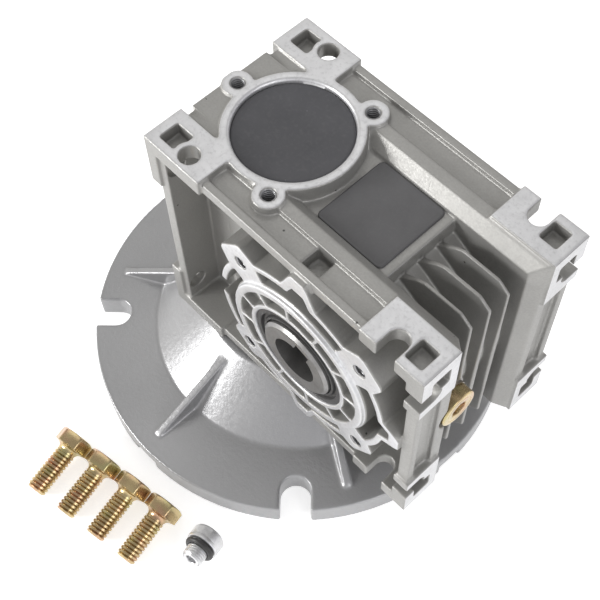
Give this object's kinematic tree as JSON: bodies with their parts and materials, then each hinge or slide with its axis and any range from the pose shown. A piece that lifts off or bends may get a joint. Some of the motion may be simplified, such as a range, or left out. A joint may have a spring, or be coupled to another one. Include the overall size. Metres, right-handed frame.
{
  "type": "worm gear reducer",
  "caption": "Right-angle worm gear reducer in a finned cast frame housing, with a hollow keyed output shaft and a round slotted motor flange with ribs below its input.",
  "frame": {"origin": "on the worm axis, in the face of the input flange that the motor is bolted to", "axes": "+Z along the worm axis, from the motor into the housing; +X from the worm to the wheel; the output axis lies along Y, with the cast boss on the -Y side and the side cover on the +Y side"},
  "size_m": [0.1725, 0.2056, 0.1313],
  "materials": {
    "cast_aluminium": "satin, blasted casting with machined faces",
    "flange_paint": "satin grey paint on a casting",
    "black_steel": "black oxide",
    "gasket_paper": "matt fibre",
    "shaft_steel": "ground",
    "shaft_iron": "turned",
    "wheel_bronze": "machined bronze",
    "bearing_steel": "polished",
    "cage_brass": "satin",
    "seal_rubber": "matt",
    "cap_rubber": "smooth satin",
    "plate_black": "satin",
    "zinc_yellow": "yellow zinc plate",
    "washer_copper": "dull copper",
    "vent_aluminium": "turned"
  },
  "bodies": {
    "housing": {"gearbox_housing": "cast_aluminium", "side_cover": "cast_aluminium", "side_cover_screws": "black_steel", "side_cover_o_ring": "seal_rubber", "input_flange": "flange_paint", "input_flange_screws": "black_steel", "input_flange_gasket": "gasket_paper", "worm_lower_outer_race": "bearing_steel", "worm_upper_outer_race": "bearing_steel", "worm_circlip": "black_steel", "input_oil_seal": "seal_rubber", "worm_end_cap": "cap_rubber", "output_near_outer_race": "bearing_steel", "output_near_oil_seal": "seal_rubber", "output_far_outer_race": "bearing_steel", "output_far_oil_seal": "seal_rubber", "nameplate": "plate_black", "oil_plug": "zinc_yellow", "oil_plug_washer": "washer_copper", "motor_bolts": "zinc_yellow", "vent_plug": "vent_aluminium", "vent_plug_o_ring": "seal_rubber"},
    "output": {"output_shaft": "shaft_iron", "worm_wheel": "wheel_bronze", "output_near_inner_race": "bearing_steel", "output_far_inner_race": "bearing_steel"},
    "worm": {"worm_shaft": "shaft_steel", "worm_lower_inner_race": "bearing_steel", "worm_upper_inner_race": "bearing_steel"},
    "output_near_cage_set": {"output_near_cage": "cage_brass", "output_near_balls": "bearing_steel"},
    "output_far_cage_set": {"output_far_cage": "cage_brass", "output_far_balls": "bearing_steel"},
    "worm_lower_cage_set": {"worm_lower_cage": "cage_brass", "worm_lower_balls": "bearing_steel"},
    "worm_upper_cage_set": {"worm_upper_cage": "cage_brass", "worm_upper_balls": "bearing_steel"}
  },
  "joints": [
    {"name": "output_spin", "type": "hinge", "parent": "housing", "child": "output", "pos_m": [0.04, 0, 0.0813], "axis": [0, 1, 0], "continuous": true},
    {"name": "worm_spin", "type": "hinge", "parent": "housing", "child": "worm", "pos_m": [0, 0, 0.0813], "axis": [0, 0, 1], "continuous": true},
    {"name": "output_near_cage_spin", "type": "hinge", "parent": "housing", "child": "output_near_cage_set", "pos_m": [0.04, 0, 0.0813], "axis": [0, 1, 0], "continuous": true},
    {"name": "output_far_cage_spin", "type": "hinge", "parent": "housing", "child": "output_far_cage_set", "pos_m": [0.04, 0, 0.0813], "axis": [0, 1, 0], "continuous": true},
    {"name": "worm_lower_cage_spin", "type": "hinge", "parent": "housing", "child": "worm_lower_cage_set", "pos_m": [0, 0, 0.0813], "axis": [0, 0, 1], "continuous": true},
    {"name": "worm_upper_cage_spin", "type": "hinge", "parent": "housing", "child": "worm_upper_cage_set", "pos_m": [0, 0, 0.0813], "axis": [0, 0, 1], "continuous": true}
  ],
  "couplings": [
    {"joint": "worm_spin", "follows": "output_spin", "ratio": -10},
    {"joint": "output_near_cage_spin", "follows": "output_spin", "ratio": 0.416},
    {"joint": "output_far_cage_spin", "follows": "output_spin", "ratio": 0.416},
    {"joint": "worm_lower_cage_spin", "follows": "output_spin", "ratio": -4.2896},
    {"joint": "worm_upper_cage_spin", "follows": "output_spin", "ratio": -3.8175}
  ]
}
